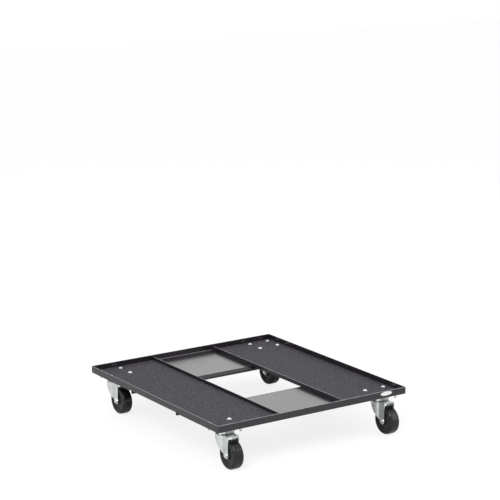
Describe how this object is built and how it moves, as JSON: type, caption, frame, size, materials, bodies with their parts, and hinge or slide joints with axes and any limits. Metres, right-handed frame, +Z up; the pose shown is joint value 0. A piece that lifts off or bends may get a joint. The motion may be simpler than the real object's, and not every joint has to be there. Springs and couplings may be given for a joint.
{
  "type": "stacking chair trolley",
  "caption": "Low black steel trolley for stacked chairs: matted side trays on cross plates round an open middle, carried at its corners by swivel casters.",
  "frame": {"origin": "on the floor, under the middle of the deck", "axes": "+X to the deck's right, +Y to its back, +Z up; the badge is on the front rim, and all four casters trail towards the front"},
  "size_m": [0.6, 0.668, 0.125],
  "materials": {
    "deck_paint": "satin black powder coat",
    "mat_rubber": "matte, fine mottled grain",
    "badge_plastic": "gloss",
    "bolt_zinc": "bright zinc plate",
    "caster_zinc": "bright zinc plate",
    "ball_steel": "polished",
    "core_nylon": "matte",
    "tyre_rubber": "satin"
  },
  "bodies": {
    "deck": {"front_cross_plate": "deck_paint", "rear_cross_plate": "deck_paint", "front_rim_bar": "deck_paint", "rear_rim_bar": "deck_paint", "left_tray": "deck_paint", "right_tray": "deck_paint", "left_rim_bar": "deck_paint", "right_rim_bar": "deck_paint", "left_inner_bar": "deck_paint", "right_inner_bar": "deck_paint", "left_mat": "mat_rubber", "right_mat": "mat_rubber", "blank_badge": "badge_plastic", "caster_bolts": "bolt_zinc", "caster_washers": "bolt_zinc", "caster_nuts": "bolt_zinc", "front_left_top_plate": "caster_zinc", "front_left_king_pin": "caster_zinc", "front_left_lower_race": "caster_zinc", "front_right_top_plate": "caster_zinc", "front_right_king_pin": "caster_zinc", "front_right_lower_race": "caster_zinc", "rear_left_top_plate": "caster_zinc", "rear_left_king_pin": "caster_zinc", "rear_left_lower_race": "caster_zinc", "rear_right_top_plate": "caster_zinc", "rear_right_king_pin": "caster_zinc", "rear_right_lower_race": "caster_zinc"},
    "front_left_swivel": {"front_left_bearing_balls": "ball_steel", "front_left_fork": "caster_zinc", "front_left_axle_bolt": "bolt_zinc", "front_left_axle_nut": "bolt_zinc", "front_left_axle_sleeve": "caster_zinc"},
    "front_left_wheel": {"front_left_wheel_core": "core_nylon", "front_left_tyre": "tyre_rubber"},
    "front_right_swivel": {"front_right_bearing_balls": "ball_steel", "front_right_fork": "caster_zinc", "front_right_axle_bolt": "bolt_zinc", "front_right_axle_nut": "bolt_zinc", "front_right_axle_sleeve": "caster_zinc"},
    "front_right_wheel": {"front_right_wheel_core": "core_nylon", "front_right_tyre": "tyre_rubber"},
    "rear_left_swivel": {"rear_left_bearing_balls": "ball_steel", "rear_left_fork": "caster_zinc", "rear_left_axle_bolt": "bolt_zinc", "rear_left_axle_nut": "bolt_zinc", "rear_left_axle_sleeve": "caster_zinc"},
    "rear_left_wheel": {"rear_left_wheel_core": "core_nylon", "rear_left_tyre": "tyre_rubber"},
    "rear_right_swivel": {"rear_right_bearing_balls": "ball_steel", "rear_right_fork": "caster_zinc", "rear_right_axle_bolt": "bolt_zinc", "rear_right_axle_nut": "bolt_zinc", "rear_right_axle_sleeve": "caster_zinc"},
    "rear_right_wheel": {"rear_right_wheel_core": "core_nylon", "rear_right_tyre": "tyre_rubber"}
  },
  "joints": [
    {"name": "front_left_turn", "type": "hinge", "parent": "deck", "child": "front_left_swivel", "pos_m": [-0.25, -0.2765, 0.0865], "axis": [0, 0, 1], "continuous": true},
    {"name": "front_left_roll", "type": "hinge", "parent": "front_left_swivel", "child": "front_left_wheel", "pos_m": [-0.25, -0.308, 0.0375], "axis": [1, 0, 0], "continuous": true},
    {"name": "front_right_turn", "type": "hinge", "parent": "deck", "child": "front_right_swivel", "pos_m": [0.25, -0.2765, 0.0865], "axis": [0, 0, 1], "continuous": true},
    {"name": "front_right_roll", "type": "hinge", "parent": "front_right_swivel", "child": "front_right_wheel", "pos_m": [0.25, -0.308, 0.0375], "axis": [1, 0, 0], "continuous": true},
    {"name": "rear_left_turn", "type": "hinge", "parent": "deck", "child": "rear_left_swivel", "pos_m": [-0.25, 0.2765, 0.0865], "axis": [0, 0, 1], "continuous": true},
    {"name": "rear_left_roll", "type": "hinge", "parent": "rear_left_swivel", "child": "rear_left_wheel", "pos_m": [-0.25, 0.245, 0.0375], "axis": [1, 0, 0], "continuous": true},
    {"name": "rear_right_turn", "type": "hinge", "parent": "deck", "child": "rear_right_swivel", "pos_m": [0.25, 0.2765, 0.0865], "axis": [0, 0, 1], "continuous": true},
    {"name": "rear_right_roll", "type": "hinge", "parent": "rear_right_swivel", "child": "rear_right_wheel", "pos_m": [0.25, 0.245, 0.0375], "axis": [1, 0, 0], "continuous": true}
  ]
}
